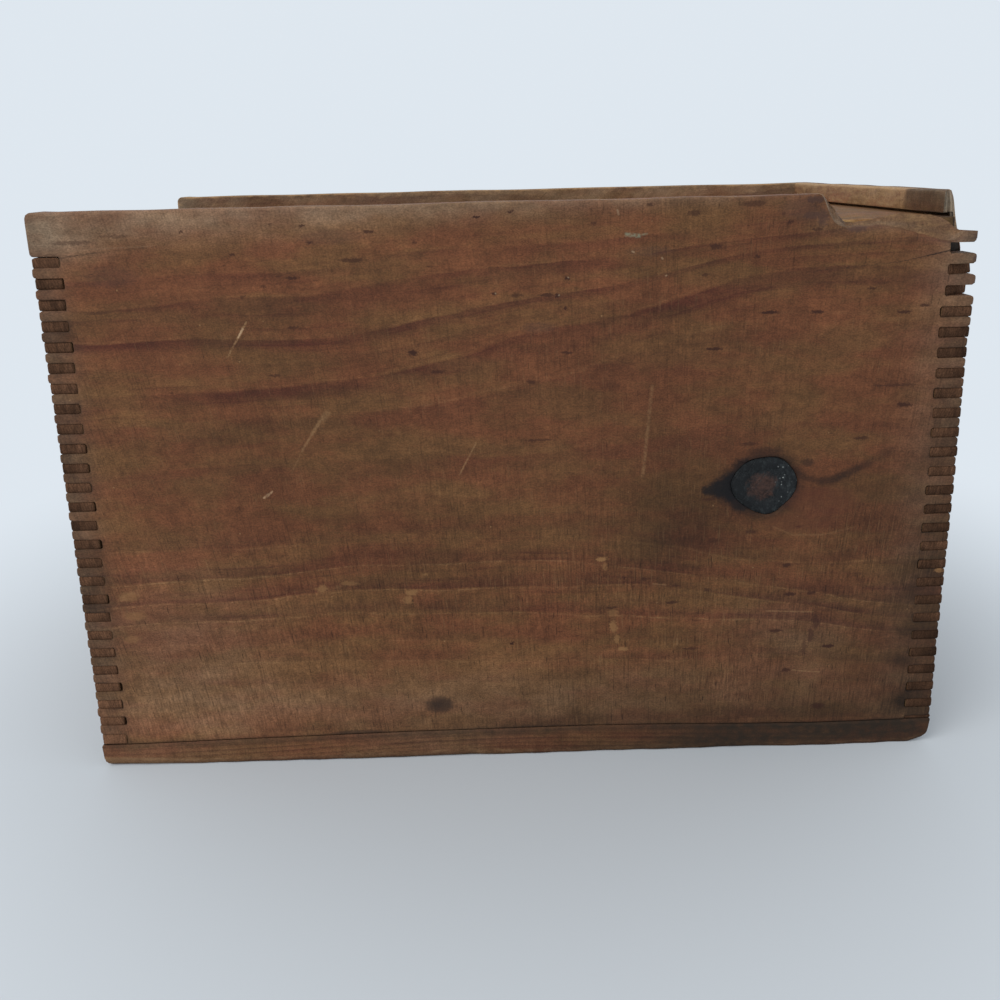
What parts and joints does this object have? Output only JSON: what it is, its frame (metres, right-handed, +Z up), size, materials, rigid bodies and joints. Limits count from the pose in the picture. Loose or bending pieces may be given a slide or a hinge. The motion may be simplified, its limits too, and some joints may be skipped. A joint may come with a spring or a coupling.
{
  "type": "wooden box with a sliding lid",
  "caption": "Old pine storage box with machine-cut finger-jointed corners, a nailed-on bottom and a bevelled lid that slides out over the low end.",
  "frame": {"origin": "centre of the underside, on the table", "axes": "+X along the front towards the closed end, front face towards -Y, +Z up"},
  "size_m": [0.305, 0.192, 0.1975],
  "materials": {
    "front_pine": "aged, oiled by handling, plane marks and faint dark resin streaks",
    "knot_wood": "black bark ring round a cracked red-brown core",
    "wall_pine": "aged, worn along the edges",
    "bottom_pine": "aged, stained where it meets the table",
    "lid_pine": "aged, dry, scratched along its slide",
    "nail_steel": "rusted wire nails"
  },
  "bodies": {
    "case": {"front_board": "front_pine", "front_knot": "knot_wood", "back_board": "wall_pine", "left_end_board": "wall_pine", "right_end_board": "wall_pine", "bottom_board": "bottom_pine", "bottom_nails": "nail_steel"},
    "lid": {"sliding_lid": "lid_pine"}
  },
  "joints": [
    {"name": "lid_slide", "type": "slide", "parent": "case", "child": "lid", "axis": [-1, 0, 0], "range_m": [0, 0.27]}
  ]
}
